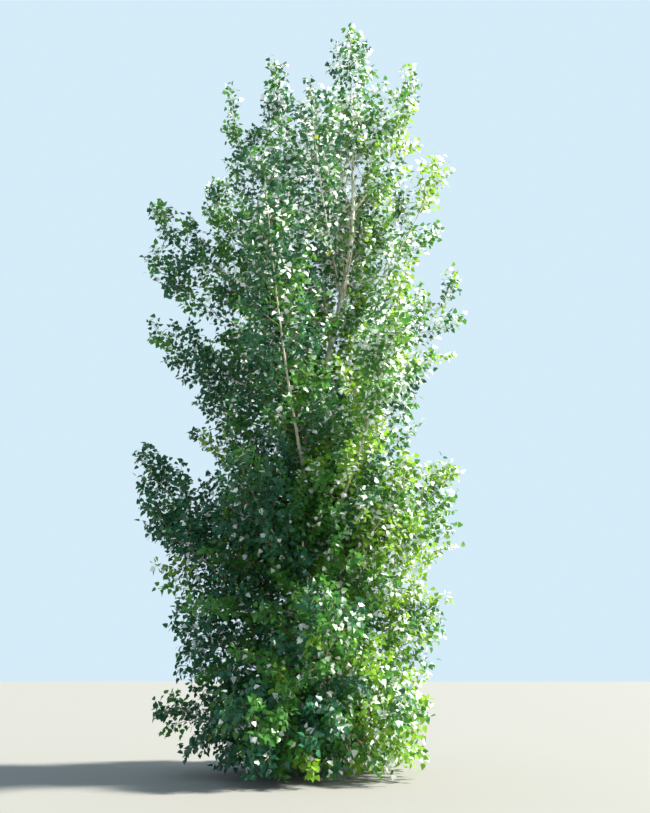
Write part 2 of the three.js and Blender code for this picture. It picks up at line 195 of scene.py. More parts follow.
# Hardly any leaf stands in a narrow gap in front of the trunk, which slopes down away from it. Higher up
# it goes right through the crown.
GAP_FROM = 8.6
GAP_THROUGH_FROM = 11.3
GAP_TO = 12.4
GAP_HALF_WIDTH = 0.3
GAP_SLOPE = 0.57
GAP_KEPT = 0.12

# Half a leaf's outline in shares of its length: along, across and up, with broad shoulders near its foot
# and a long point. The triangles count the midrib's points, then those of the two edges.
LEAF_MIDRIB = ((0, 0, 0), (0.42, 0, -0.02), (1, 0, -0.12))
LEAF_EDGE = ((0.15, 0.44, 0.05), (0.55, 0.31, 0.06))
LEAF_TRIANGLES = ((0, 1, 3), (1, 4, 3), (1, 2, 4), (0, 5, 1), (1, 5, 6), (1, 6, 2))

# Light that comes through a leaf is yellower than the leaf, save through a pale one. Each tint has its
# gain on the leaf's colour, and its share of light that comes through.
GREEN_GLOW = (1.9, 1.5, 0.6)
PALE_GLOW = (0.95, 1.0, 0.9)
GLOW_LEAST = 0.03
STALK_GLOW = 0.1
TINTS = {
    "deep_leaves": (GREEN_GLOW, 0.25),
    "middle_leaves": (GREEN_GLOW, 0.35),
    "fresh_leaves": (GREEN_GLOW, 0.42),
    "pale_leaves": (PALE_GLOW, 0.45),
    "yellow_leaves": (GREEN_GLOW, 0.4),
}
DEEP_AND_SHADED, MIDDLE, FRESH_AND_SUNLIT, PALE_AND_GLINT, YELLOW = range(len(TINTS))
# A tint's chance rises between two places across the crown, in half widths. It is its least, how much is
# added on its own side, and the share of that which is lost high up.
CROWN_HALF_WIDTH = 2.4
TINT_HEIGHTS = (7, 14)
# Yellow-green is dealt mostly to the sunny right: partly the leaves' own fresh green, partly painted
# sunlight.
FRESH_AND_SUNLIT_ACROSS = (-0.3, 0.9)
FRESH_AND_SUNLIT_CHANCE = (0.02, 0.6, 0.3)
# Blue-green is dealt mostly to the shaded left: partly the leaves' own deeper green, partly painted shade
# and a painted blue sheen of the sky.
DEEP_AND_SHADED_ACROSS = (-0.7, 0.3)
DEEP_AND_SHADED_CHANCE = (0.12, 0.7, 0.5)
# Pale leaves are partly real pale undersides and partly painted glints of sun and sky, so there are more of
# them on the sunny side and higher up.
PALE_AND_GLINT_HEIGHTS = (4, 13)
PALE_AND_GLINT_BY_SIDE = 0.7
PALE_AND_GLINT_FROM_TO = (-0.3, 0.95)

# Bark
TRUNK_CROWDING = 1.5
WANDER = (0.05, 0.05, 0)
WANDER_SCALE = 2.5
FURROW_STRETCH = (1, 1, 0.2)
FINE_RIDGE_SCALE = 2.1
FINE_RIDGE_SHARE = 0.35
RELIEF_EDGES = (0.35, 0.8)
RELIEF_MIDDLE = 0.6
SMOOTH_RELIEF = 0.08
OLDEST_BARK_SHARE = 0.4
COLLAR_RADII = 4
SWELLING_SCALE = (14, 14, 9)
GRAIN_APART = 20.0
OLD_LIMB_RADIUS = 0.05
LIMB_MARKS = 0.6
TWIG_MARKS = 0.4
OLD_TWIG_TONE = 0.55
TWIG_AGE = 0.6
TWIG_GRAIN = 0.5

FLOOR_SIDES = 96
FLOOR_DROP = 0.002
SUN_TURN = (47, 0, 90)

WANDER_SEED, LIMB_SEED, RIDGE_SEED = 3, 5, 11
BRANCHLET_SEED, SHOOT_SEED, AGE_SEED, LEAF_SEED, TINT_SEED = range(21, 26)
NOISE_TABLE = 4096
NOISE_PRIMES = (73856093, 19349663, 83492791)
TINY = 1e-9
NEARLY_UPRIGHT = 0.1
UP = np.array([0.0, 0.0, 1.0])
AWAY = np.array([0.0, 1.0, 0.0])


def smooth_step(value, low, high):
    """Rises from 0 at low to 1 at high, as three times the square less twice the cube."""
    share = np.clip((np.asarray(value, dtype=float) - low) / (high - low), 0, 1)
    return share * share * (3 - 2 * share)


def between(low, high, share):
    """The value at a share of the way from low to high."""
    return low + (high - low) * share


def unit(vectors):
    """Vectors at their own direction and a length of one."""
    return vectors / np.maximum(np.linalg.norm(vectors, axis=-1, keepdims=True), TINY)


def trunk_middle(height):
    """The trunk's middle: half a sine wave to the left below, a smooth step to the right above, and a slow
    sine wave in depth."""
    height = np.asarray(height, dtype=float)
    bow = -LOWER_BOW * np.sin(np.pi * np.minimum(height, LOWER_BOW_ENDS) / LOWER_BOW_ENDS)
    shift = UPPER_SHIFT * smooth_step(height, *UPPER_SHIFT_ENDS)
    sway = DEPTH_SWAY * np.sin(2 * np.pi * height / DEPTH_SWAY_LENGTH)
    return np.stack([bow + shift, sway, height], axis=-1)


def trunk_radius(height):
    """A near straight taper that would vanish a little above the tree's tip."""
    return TRUNK_RADIUS * (1 - height / TRUNK_VANISHES) ** TRUNK_TAPER


class Limb:
    """One limb as a line of points from the trunk to its tip, read by shares of its length. Its last
    stretch is the stem of a mass."""

    def __init__(self, name, points, width, root_height):
        steps = np.linalg.norm(np.diff(points, axis=0), axis=1)
        reached = np.concatenate([[0], np.cumsum(steps)])
        self.name = name
        self.points = points
        self.length = reached[-1]
        self.shares = reached / self.length
        self.width = width
        self.is_bough = name in BOUGH_TIPS
        self.stem_from = 1 if name == "trunk" else 0
        if self.is_bough:
            self.stem_from = max(SHORTEST_BOUGH, 1 - BOUGH_MASS_LENGTH / self.length)
        from_length = self.length * BOUGH_RADIUS_PER_LENGTH + STEM_END_RADIUS
        self.root_radius = min(trunk_radius(root_height) * BOUGH_SHARE_OF_TRUNK, from_length)

    def at(self, shares):
        """Points at shares of the length, straight between the line's own."""
        return np.stack([np.interp(shares, self.shares, line) for line in self.points.T], axis=-1)

    def along(self, shares):
        """Directions at shares of the length, from a point just before to one just after."""
        step = 1 / LIMB_POINTS
        return unit(self.at(np.minimum(shares + step, 1)) - self.at(np.maximum(shares - step, 0)))


def limb_line(tip, root_height):
    """A quadratic curve that leaves the trunk outwards and turns up to its tip."""
    share = np.linspace(0, 1, LIMB_POINTS)[:, None]
    root = trunk_middle(root_height)
    elbow = root + (tip - root) * ELBOW
    return root * (1 - share) ** 2 + elbow * 2 * share * (1 - share) + tip * share**2


def spoke(bearing, reach):
    """A level vector at a bearing, as long as the reach."""
    return np.array([np.cos(bearing), np.sin(bearing), 0]) * reach


def plan_limbs():
    """Every limb: the boughs, the rings of stems round the trunk, the inner spiral and the leader."""
    limbs = []
    for name, (across, depth, height, root_height) in BOUGH_TIPS.items():
        width = BOUGH_MASS_WIDTH
        if abs(across) > FAR_TIP:
            width = FAR_MASS_WIDTH
        if height > CREST_FROM:
            width = CREST_MASS_WIDTH
        line = limb_line(np.array([across, depth, height]), root_height)
        limbs.append(Limb(name, line, width, root_height))
    for name, count, reach, shift, tip, root_height, width, turn in TRUNK_RINGS:
        for i in range(count):
            out = spoke(np.radians(turn + 360 * i / count), reach) + (shift, 0, 0)
            line = limb_line(trunk_middle(tip) + out, root_height)
            limbs.append(Limb(f"{name}_{i + 1}", line, width, root_height))
    count, reach, first_tip, last_tip, rise, width = SPIRAL
    for i in range(count):
        tip = between(first_tip, last_tip, i / (count - 1))
        line = limb_line(trunk_middle(tip) + spoke(GOLDEN_ANGLE * i, reach), tip - rise)
        limbs.append(Limb(f"inner_{i + 1}", line, width, tip - rise))
    leader = trunk_middle(np.linspace(TRUNK_TOP, TREE_HEIGHT, LIMB_POINTS))
    limbs.append(Limb("top", leader, TOP_MASS_WIDTH, TRUNK_TOP))
    return limbs


LIMBS = plan_limbs()
TRUNK = Limb("trunk", trunk_middle(np.linspace(0, TRUNK_TOP, LIMB_POINTS)), 0, 0)
STEM_STARTS = np.array([limb.at(limb.stem_from) for limb in LIMBS])
STEM_AXES = np.array([limb.points[-1] for limb in LIMBS]) - STEM_STARTS
MASS_WIDTHS = np.array([limb.width for limb in LIMBS])
FOLIAGE_NODES = [f"foliage_{limb.name}" for limb in LIMBS]
BOUGH_NODES = [f"bough_{limb.name}" for limb in LIMBS if limb.is_bough]


def spindle(share):
    """How wide a mass is at a share of its length: a sine wave, widest a third of the way up and drawn in
    at the tip."""
    return np.sin(np.pi * np.clip(share, 0, 1) ** SPINDLE_SKEW) ** SPINDLE_FULLNESS


def in_space(points, owner):
    """Whether points lie in their mass's own space, widened a little: within its spindle, nearer to its
    stem than to any other, above the ground and within the tree's reach."""
    lengths_squared = (STEM_AXES**2).sum(axis=1)
    from_start = points[:, None] - STEM_STARTS
    along = (from_start * STEM_AXES).sum(axis=2) / lengths_squared
    nearest = np.clip(along, 0, 1)[..., None] * STEM_AXES
    away = np.linalg.norm(from_start - nearest, axis=2)
    row = np.arange(len(points))
    own_along = along[row, owner]
    own_away = away[row, owner]
    room = MASS_WIDTHS[owner] / 2 * SPACE_WIDENED * np.maximum(spindle(own_along), SPINDLE_LEAST)
    room *= between(FOOT_ROOM, 1, smooth_step(points[:, 2], *FOOT_HEIGHTS))
    fits = (own_along <= PAST_THE_TIP) & (own_away <= room)
    fits &= own_away < away.min(axis=1) + SPACE_OVERLAP
    return fits & in_reach(points)


def in_reach(points):
    """Whether points lie above the ground and within the tree's own box, but for a small margin."""
    low = np.array(CAD_LOW) - REACH_MARGIN
    high = np.array(CAD_HIGH) + REACH_MARGIN
    low[2] = LEAF_CLEARANCE
    return ((points > low) & (points < high)).all(axis=-1)


def turned(directions, angles, turns):
    """Directions at an angle from given ones, turned about them from the level side."""
    across = np.cross(directions, UP)
    upright = np.linalg.norm(across, axis=-1) < NEARLY_UPRIGHT
    across[upright] = np.cross(AWAY, directions[upright])
    first = unit(across)
    second = np.cross(directions, first)
    side = first * np.cos(turns)[:, None] + second * np.sin(turns)[:, None]
    return directions * np.cos(angles)[:, None] + side * np.sin(angles)[:, None]


def stations(paths, step, part=1):
    """Stations at even steps along a part of each path, at least two. Returns for each its path's length
    and count, its path, and its place in order there."""
    lengths = np.linalg.norm(np.diff(paths, axis=1), axis=2).sum(axis=1)
    counts = np.maximum((lengths * part / step).astype(int), 2)
    owner = np.repeat(np.arange(len(counts)), counts)
    first = np.cumsum(counts) - counts
    return lengths[owner], counts[owner], owner, np.arange(len(owner)) - first[owner]


def on_paths(paths, owner, shares):
    """Points and directions at shares of the straight runs between each path's points."""
    runs = paths.shape[1] - 1
    place = np.clip(shares, 0, 1) * runs
    step = np.minimum(place.astype(int), runs - 1)
    below = paths[owner, step]
    run = paths[owner, step + 1] - below
    return below + run * (place - step)[:, None], unit(run)


def rising_paths(roots, directions, lengths, lift, points):
    """Twigs that start along their direction and bend up with the square of the way along, or hang a
    little near the ground."""
    share = np.linspace(0, 1, points)[:, None]
    reach = lengths[:, None, None]
    bend = between(HANG_LOW_DOWN, lift, smooth_step(roots[:, 2], *HANG_ENDS))[:, None, None]
    return roots[:, None] + (directions[:, None] * share + UP * bend * share**2) * reach


def fitted_paths(roots, directions, lengths, lift, points, owner, inner):
    """Paths at the largest of the shrinking sizes at which their ends and middles stay in their mass's
    space. Inner ones need only stay within the tree's reach. Returns the paths and a mark for those
    that fit."""
    paths = np.zeros((len(roots), points, 3))
    placed = np.zeros(len(roots), dtype=bool)
    for shrink in SHRINK_STEPS:
        tried = rising_paths(roots, directions, lengths * shrink, lift, points)
        ends, middles = tried[:, -1], tried[:, points // 2]
        fits = in_space(ends, owner) & in_space(middles, owner) | inner & in_reach(ends)
        fits &= ~placed
        paths[fits] = tried[fits]
        placed |= fits
    return paths, placed


def tube_rings(paths, radii, sides):
    """Rings of points round each path's middle line, square to it and in step from end to end."""
    tangent = unit(np.gradient(paths, axis=1))
    chord = paths[:, -1] - paths[:, 0]
    side = np.cross(chord, UP)
    upright = np.linalg.norm(side, axis=-1) < NEARLY_UPRIGHT * np.linalg.norm(chord, axis=-1)
    side[upright] = AWAY
    second = unit(np.cross(side[:, None], tangent))
    first = np.cross(tangent, second)
    angle = (2 * np.pi * np.arange(sides) / sides)[:, None]
    spokes = first[:, :, None] * np.sin(angle) + second[:, :, None] * np.cos(angle)
    return paths[:, :, None] + spokes * radii[..., None]


def closed_tubes(rings, roots, tips):
    """Skins of tubes: two triangles a side join each ring to the next, and a fan closes each end."""
    count, levels, sides = rings.shape[:3]
    points = np.concatenate([rings.reshape(count, -1, 3), roots[:, None], tips[:, None]], axis=1)
    side = np.arange(sides)
    after = (side + 1) % sides
    ring = np.arange(levels - 1)[:, None] * sides
    low, low_after = ring + side, ring + after
    high, high_after = low + sides, low_after + sides
    skin = np.stack([low, low_after, high_after, low, high_after, high], axis=-1).reshape(-1, 3)
    root = np.full(sides, levels * sides)
    last = (levels - 1) * sides
    root_fan = np.stack([root, after, side], axis=-1)
    tip_fan = np.stack([root + 1, last + side, last + after], axis=-1)
    triangles = np.concatenate([root_fan, skin, tip_fan])
    offsets = np.arange(count)[:, None, None] * (levels * sides + 2)
    return points.reshape(-1, 3), (triangles + offsets).reshape(-1, 3)


def circle(sides):
    """Points evenly round a level circle of radius one."""
    angle = 2 * np.pi * np.arange(sides) / sides
    return np.stack([np.cos(angle), np.sin(angle), 0 * angle], axis=-1)


def with_ends(values, count=1):
    """Values of the points of closed tubes: those of each one's rings, then its first and last again for
    the middles of its two ends."""
    width = values.shape[-1]
    rings = values.reshape(count, -1, width)
    return np.concatenate([rings, rings[:, [0, -1]]], axis=1).reshape(-1, width).squeeze()


def lattice_noise(points, seed):
    """Smooth noise from 0 to 1: random values on a unit lattice, blended between its eight corners by
    smooth steps."""
    table = np.random.default_rng(seed).random(NOISE_TABLE)
    base = np.floor(points).astype(np.int64)
    part = points - base
    part = part * part * (3 - 2 * part)
    total = np.zeros(points.shape[:-1])
    for corner in range(8):
        offset = np.array([corner & 1, corner >> 1 & 1, corner >> 2 & 1])
        mixed = np.bitwise_xor.reduce((base + offset) * NOISE_PRIMES, axis=-1)
        weight = np.where(offset == 1, part, 1 - part).prod(axis=-1)
        total += weight * table[mixed % NOISE_TABLE]
    return total


def ridges(points, seed):
    """Ridged noise: highest where smooth noise passes its middle, so that its crests run in lines."""
    broad = 1 - np.abs(2 * lattice_noise(points, seed) - 1)
    fine = 1 - np.abs(2 * lattice_noise(points * FINE_RIDGE_SCALE, seed + 1) - 1)
    return (1 - FINE_RIDGE_SHARE) * broad + FINE_RIDGE_SHARE * fine


def toned(levels, gain, lift=0.0):
    """A colour times its gain, with a little light added, up to full strength."""
    return np.clip(np.multiply(levels, gain) + lift, 0, 1)


def in_scene(name, data):
    """A new object in the scene."""
    item = bpy.data.objects.new(name, data)
    bpy.context.scene.collection.objects.link(item)
    return item


def new_piece(name, points, triangles, values=None):
    """A smooth-shaded mesh object from arrays. Values are by name and for each point, and those of two
    numbers are a texture place."""
    mesh = bpy.data.meshes.new(name)
    mesh.vertices.add(len(points))
    mesh.vertices.foreach_set("co", points.astype(np.float32).ravel())
    mesh.loops.add(triangles.size)
    mesh.loops.foreach_set("vertex_index", triangles.astype(np.int32).ravel())
    mesh.polygons.add(len(triangles))
    mesh.polygons.foreach_set("loop_start", np.arange(0, triangles.size, 3, dtype=np.int32))
    mesh.update(calc_edges=True)
    mesh.polygons.foreach_set("use_smooth", np.ones(len(triangles), dtype=bool))
    for label, value in (values or {}).items():
        if value.shape[1:] == (2,):
            layer, key = mesh.uv_layers.new(name=label), "uv"
            value = value[triangles.ravel()]
        else:
            kind, key = ("FLOAT", "value") if value.ndim == 1 else ("FLOAT_VECTOR", "vector")
            layer = mesh.attributes.new(label, kind, "POINT")
        layer.data.foreach_set(key, value.astype(np.float32).ravel())
    return in_scene(name, mesh)


def add_piece(name, surface, material, nodes):
    """Adds a piece to the scene with its material, its body and the nodes it stands for."""
    piece = new_piece(name, *surface)
    piece.data.materials.append(material)
    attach(piece, "root")
    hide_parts(*nodes)


class Wire:
    """An output of a material's node. Python's operators on it add Math nodes."""

    def __init__(self, finish, socket):
        self.finish = finish
        self.socket = socket

    def math(self, operation, first, second=0.0):
        return self.finish.add("ShaderNodeMath", {"operation": operation}, {0: first, 1: second})

    def __add__(self, other):
        return self.math("ADD", self, other)

    def __sub__(self, other):
        return self.math("SUBTRACT", self, other)

    def __rsub__(self, other):
        return self.math("SUBTRACT", other, self)

    def __mul__(self, other):
        return self.math("MULTIPLY", self, other)

    def __abs__(self):
        return self.math("ABSOLUTE", self)

    __radd__ = __add__
    __rmul__ = __mul__

    def rising(self, low, high):
        """A smooth step from 0 at low to 1 at high."""
        settings = {"interpolation_type": "SMOOTHSTEP"}
        return self.finish.add("ShaderNodeMapRange", settings, {0: self, 1: low, 2: high})


class Finish:
    """A material and its nodes."""

    def __init__(self, name):
        self.material = bpy.data.materials.new(name)
        self.material.use_nodes = True
        self.tree = self.material.node_tree
        self.tree.nodes.clear()

    def add(self, kind, settings=None, sockets=None, output=0):
        """A node of a kind: its settings first, then the values or links of its sockets."""
        node = self.tree.nodes.new(kind)
        for name, value in (settings or {}).items():
            setattr(node, name, value)
        for name, value in (sockets or {}).items():
            if isinstance(value, Wire):
                self.tree.links.new(value.socket, node.inputs[name])
            else:
                node.inputs[name].default_value = value
        return Wire(self, node.outputs[output])

    def blend(self, factor, first, second):
        """A colour between two others."""
        colours = [value if isinstance(value, Wire) else (*value, 1) for value in (first, second)]
        sockets = {0: factor, 6: colours[0], 7: colours[1]}
        return self.add("ShaderNodeMix", {"data_type": "RGBA"}, sockets, 2)

    def place(self, kind="Object"):
        """The place on the object in metres, or another kind of place."""
        return self.add("ShaderNodeTexCoord", output=kind)

    def value(self, label, output="Fac"):
        """A value that the mesh holds for each point."""
        return self.add("ShaderNodeAttribute", {"attribute_name": label}, output=output)

    def noise(self, place, scale, detail=3.0):
        """Noise at a scale, or at one of its own along each axis."""
        if isinstance(scale, tuple):
            place = self.add("ShaderNodeVectorMath", {"operation": "MULTIPLY"}, {0: place, 1: scale})
            scale = 1.0
        return self.add("ShaderNodeTexNoise", sockets={"Vector": place, "Scale": scale, "Detail": detail})

    def surface(self, base, roughness, bump=None):
        """A shader, with the height, distance and strength of a bump where it has one."""
        sockets = {"Base Color": base, "Roughness": roughness}
        if bump:
            labels = ("Height", "Distance", "Strength")
            sockets["Normal"] = self.add("ShaderNodeBump", sockets=dict(zip(labels, bump)))
        return self.add("ShaderNodeBsdfPrincipled", sockets=sockets)

    def done(self, shader):
        """The material, once its shader reaches its output."""
        node = self.tree.nodes.new("ShaderNodeOutputMaterial")
        self.tree.links.new(shader.socket, node.inputs["Surface"])
        return self.material


def setting(kind, **limits):
    """A maker of settings of one kind, each with its name, description and default."""

    def make(name, description, default, **more):
        return kind(name=name, description=description, default=default, **limits, **more)

    return make


whole = setting(IntProperty)
amount = setting(FloatProperty)
metres = setting(FloatProperty, unit="LENGTH")
radians = setting(FloatProperty, subtype="ANGLE")
colour = setting(FloatVectorProperty, subtype="COLOR", min=0, max=1)


class TrunkSettings(PropertyGroup):
    columns: whole("Columns", "Points round the trunk", 80, min=16)
    rows: whole("Rows", "Rings up the trunk", 420, min=50)
    furrow_depth: metres("Furrow depth", "Depth of the bark's furrows at the foot", 0.011)
    furrow_width: metres("Furrow width", "Width from one furrow to the next", 0.04)
    furrows_end: metres("Furrows end", "Height where the bark turns smooth", 5.0)
    furrow_colour: colour("Furrows", "Dark bark in the furrows", (0.085, 0.068, 0.05))
    ridge_colour: colour("Ridges", "Weathered bark on the ridges", (0.36, 0.32, 0.26))
    smooth_colour: colour("Smooth bark", "Pale young bark higher up", (0.78, 0.74, 0.62))


class LimbSettings(PropertyGroup):
    sides: whole("Sides", "Points round a limb", 12, min=6)
    rings: whole("Rings", "Rings along a limb", 66, min=20)
    collar: amount("Collar", "Swelling where a limb leaves the trunk", 0.5)
    swelling: amount("Swelling", "Unevenness of the radius", 0.1)
    tip_radius: metres("Tip radius", "Radius at a limb's tip", 0.004)
    bark_colour: colour("Bark", "Pale bark of the limbs", (0.7, 0.66, 0.54))
    shade_colour: colour("Rough bark", "Greyer bark near the trunk", (0.4, 0.36, 0.28))


class TwigSettings(PropertyGroup):
    branchlet_step: metres("Branchlet step", "Way along a stem between branchlets", 0.095)
    branchlet_radius: metres("Branchlet radius", "Radius at a branchlet's root", 0.0065)
    lift: amount("Lift", "How far twigs bend up, in shares of length", 0.3)
    shoot_step: metres("Shoot step", "Way along a branchlet between shoots", 0.085)
    shoot_longest: metres("Longest shoot", "Length of the lowest shoots", 0.42)
    shoot_shortest: metres("Shortest shoot", "Length of the highest shoots", 0.14)
    shoot_radius: metres("Shoot radius", "Radius at a shoot's root", 0.003)
    branchlet_colour: colour("Branchlets", "Grey-tan bark of the branchlets", (0.3, 0.26, 0.17))
    shoot_colour: colour("Shoots", "Olive bark of the young shoots", (0.24, 0.25, 0.09))


class LeafSettings(PropertyGroup):
    spacing: metres("Spacing", "Way along a shoot between leaves", 0.048)
    most: whole("Most leaves", "Leaves in all", 92000, min=100)
    shortest: metres("Shortest", "Smallest leaf", 0.088)
    longest: metres("Longest", "Largest leaf", 0.13)
    stalk: metres("Stalk", "Length of a leaf's stalk", 0.04)
    stalk_width: metres("Stalk width", "Width of a stalk", 0.003)
    # The pale shares below deal leaves that are partly real pale undersides and partly painted glints.
    pale_and_glint_low: amount("Pale low down", "Share of pale leaves there", 0.05)
    pale_and_glint_top: amount("Pale at the top", "Share of pale leaves there", 0.34)
    yellow_share: amount("Yellow share", "Share of yellow leaves", 0.0015)
    # Painted shade: this blue-green is darkened and blued to look like the shaded side under the sky, over
    # the leaves' own deeper green.
    deep_colour: colour("Deep", "Blue-green leaves of the shaded side", (0.012, 0.108, 0.052))
    middle_colour: colour("Middle", "Mid-green leaves", (0.044, 0.195, 0.026))
    # Painted sunlight: this yellow-green is lightened to look like the sunny side, over the leaves' own
    # fresh green.
    fresh_colour: colour("Fresh", "Yellow-green leaves of the sunny side", (0.14, 0.32, 0.02))
    # Painted highlight: this near-white stands partly for real pale undersides and partly for glints of sun
    # and sky on glossy leaves.
    pale_colour: colour("Pale", "Silvery undersides", (0.86, 0.92, 0.95))
    yellow_colour: colour("Yellow", "The few yellow leaves", (0.42, 0.52, 0.05))
    stalk_colour: colour("Stalks", "Yellow-green leaf stalks", (0.34, 0.38, 0.1))


class StageSettings(PropertyGroup):
    floor_radius: metres("Floor radius", "Size of the floor", 400)
    floor_colour: colour("Floor", "Pale floor", (0.19, 0.19, 0.18))
    air_colour: colour("Air", "Soft light from all round", (0.7, 0.88, 1.0))
    air_strength: amount("Air strength", "Strength of the soft light", 0.95)
    sun_colour: colour("Sun", "Warm main light", (1.0, 0.95, 0.85))
    sun_strength: amount("Sun strength", "Strength of the main light", 14.5)
    sun_size: radians("Sun size", "Spread of the main light", 0.12)
    eye_height: metres("Eye height", "Height of the camera", 1.55)
    eye_away: metres("Distance", "Camera to trunk", 14.83)
    eye_across: metres("Across", "Camera to the trunk's right", 0.118)
    eye_pitch: radians("Pitch", "How far the camera looks up", np.radians(18.76))
    lens: amount("Lens", "Focal length in millimetres", 35.42)


def furrowed_bark(name, settings):
    """Bark of the trunk: dark furrows and weathered ridges low down, pale smooth bark with dark marks
    higher up."""
    finish = Finish(name)
    grain = finish.value("grain", "Vector")
    relief = finish.value("relief")
    age = finish.value("age")
    patches = finish.noise(grain, 9.0)
    fibres = finish.noise(grain, (60, 60, 9))
    marks = finish.noise(grain, (22, 22, 70)).rising(0.63, 0.7)
    tone = finish.blend(patches, settings.furrow_colour, settings.ridge_colour)
    rough = finish.blend(relief.rising(0.35, 0.8), settings.furrow_colour, settings.ridge_colour)
    rough = finish.blend(fibres.rising(0.4, 0.75) * 0.35, rough, tone)
    smooth = finish.blend(patches.rising(0.45, 0.75) * 0.4, settings.smooth_colour, settings.ridge_colour)
    smooth = finish.blend(marks * 0.6, smooth, settings.furrow_colour)
    skin = finish.blend(age, smooth, rough)
    bump = (fibres * 0.7 + patches * 0.3, 0.004, 0.7)
    return finish.done(finish.surface(skin, 0.78 + 0.17 * patches, bump))


def smooth_bark(name, pale, grey, mark_share):
    """Bark of limbs and twigs: pale, greyer where it is old, with small cross marks and fine grain."""
    finish = Finish(name)
    grain = finish.value("grain", "Vector")
    age = finish.value("age")
    patches = finish.noise(grain, 7.0)
    fibres = finish.noise(grain, (70, 70, 16))
    marks = finish.noise(grain, (26, 26, 80)).rising(0.62, 0.7)
    skin = finish.blend(patches.rising(0.35, 0.75) * 0.45 + age * 0.5, pale, grey)
    dark = toned(grey, 0.4)
    skin = finish.blend(marks * mark_share, skin, dark)
    bump = (fibres + marks, 0.002, 0.6)
    return finish.done(finish.surface(skin, 0.62 + 0.2 * patches, bump))


def leaf_finish(name, leaf_colour, glow_colour, glow):
    """A glossy leaf: a paler midrib and faint veins from the leaf's own place, tone that drifts from
    spray to spray, and light that comes through."""
    finish = Finish(name)
    on_leaf = {0: finish.place("UV")}
    across, along = (finish.add("ShaderNodeSeparateXYZ", sockets=on_leaf, output=axis) for axis in "XY")
    off_rib = abs(across - 0.5)
    rib = 1 - off_rib.rising(0.0, 0.035)
    slope = along * 34.0 - off_rib * 46.0
    veins = slope.math("SINE", slope).rising(0.75, 1.0)
    drift = finish.noise(finish.place(), 1.6, 2.0)
    dark = toned(leaf_colour, 0.82)
    light = toned(leaf_colour, 1.2, 0.004)
    pale = toned(leaf_colour, 1.35, 0.05)
    blade = finish.blend(drift.rising(0.3, 0.7), dark, light)
    blade = finish.blend(rib * 0.5 + veins * 0.12, blade, pale)
    gloss = finish.surface(blade, 0.28 + 0.14 * drift, (rib + veins * 0.4, 0.0006, 0.5))
    through = finish.add("ShaderNodeBsdfTranslucent", sockets={"Color": (*glow_colour, 1)})
    shader = finish.add("ShaderNodeMixShader", sockets={0: glow, 1: gloss, 2: through})
    return finish.done(shader)


def trunk_surface(settings):
    """Rings up the trunk at its radius, with the root flare's lobes, and ridged bark that stands proud by
    the furrow depth and dies out upwards. Returns the points and triangles, and the grain, relief and age
    of each point."""
    columns, rows = settings.columns, settings.rows
    angle = 2 * np.pi * np.arange(columns) / columns
    height = TRUNK_TOP * np.linspace(0, 1, rows)[:, None] ** TRUNK_CROWDING
    spokes = np.stack([np.sin(angle), -np.cos(angle), 0 * angle], axis=-1)
    lobes = 1 + FLARE_LOBE_SHARE * np.cos(FLARE_LOBES * angle)
    radius = trunk_radius(height) + FLARE_RADIUS * np.exp(-height / FLARE_HEIGHT) * lobes
    grain = spokes * TRUNK_RADIUS + UP * height[..., None]
    wander = lattice_noise(grain * WANDER_SCALE, WANDER_SEED)[..., None] * WANDER
    crests = ridges((grain + wander) / settings.furrow_width * FURROW_STRETCH, RIDGE_SEED)
    relief = smooth_step(crests, *RELIEF_EDGES)
    age = 1 - smooth_step(height, OLDEST_BARK_SHARE * settings.furrows_end, settings.furrows_end)
    age = np.clip(age + 0 * angle, 0, 1)
    depth = settings.furrow_depth * (SMOOTH_RELIEF + (1 - SMOOTH_RELIEF) * age)
    radius = radius + depth * (relief - RELIEF_MIDDLE)
    rings = trunk_middle(height) + spokes * radius[..., None]
    points, triangles = closed_tubes(rings[None], trunk_middle([0.0]), trunk_middle([TRUNK_TOP]))
    values = {"grain": grain, "relief": relief[..., None], "age": age[..., None]}
    return points, triangles, {label: with_ends(value) for label, value in values.items()}


def limb_radii(limb, shares, tip_radius):
    """Even tapers, from the root to the end of the bough and from there to the tip."""
    if limb.is_bough:
        radii = [limb.root_radius, limb.root_radius * BOUGH_END_SHARE, tip_radius]
        return np.interp(shares, [0, limb.stem_from, 1], radii)
    start = trunk_radius(TRUNK_TOP) if limb.name == "top" else limb.root_radius * STEM_START_SHARE
    return np.interp(shares, [0, 1], [start, tip_radius])


def limb_surface(settings):
    """Tubes along all the limbs, with a collar that dies out from the trunk and a little unevenness."""
    shares = np.linspace(0, 1, settings.rings + 1)
    paths = np.array([limb.at(shares) for limb in LIMBS])
    lengths = np.array([limb.length for limb in LIMBS])[:, None]
    radii = np.array([limb_radii(limb, shares, settings.tip_radius) for limb in LIMBS])
    way = shares * lengths
    collar = 1 + settings.collar * np.exp(-((way / (COLLAR_RADII * radii[:, :1])) ** 2))
    collar[-1] = 1
    row = np.arange(len(LIMBS))[:, None, None, None]
    round_it = circle(settings.sides) * radii[:, :1, None, None]
    grain = round_it + UP * (way[..., None, None] + row * GRAIN_APART)
    uneven = 1 + settings.swelling * (lattice_noise(grain * SWELLING_SCALE, LIMB_SEED) - 0.5)
    rings = tube_rings(paths, (radii * collar)[..., None] * uneven, settings.sides)
    age = np.repeat((radii / OLD_LIMB_RADIUS).clip(0, 1)[..., None, None], settings.sides, axis=2)
    keep = slice(0, settings.rings)
    points, triangles = closed_tubes(rings[:, keep], paths[:, 0], paths[:, -1])
    count = len(LIMBS)
    values = {"grain": with_ends(grain[:, keep], count), "age": with_ends(age[:, keep], count)}
    return points, triangles, values


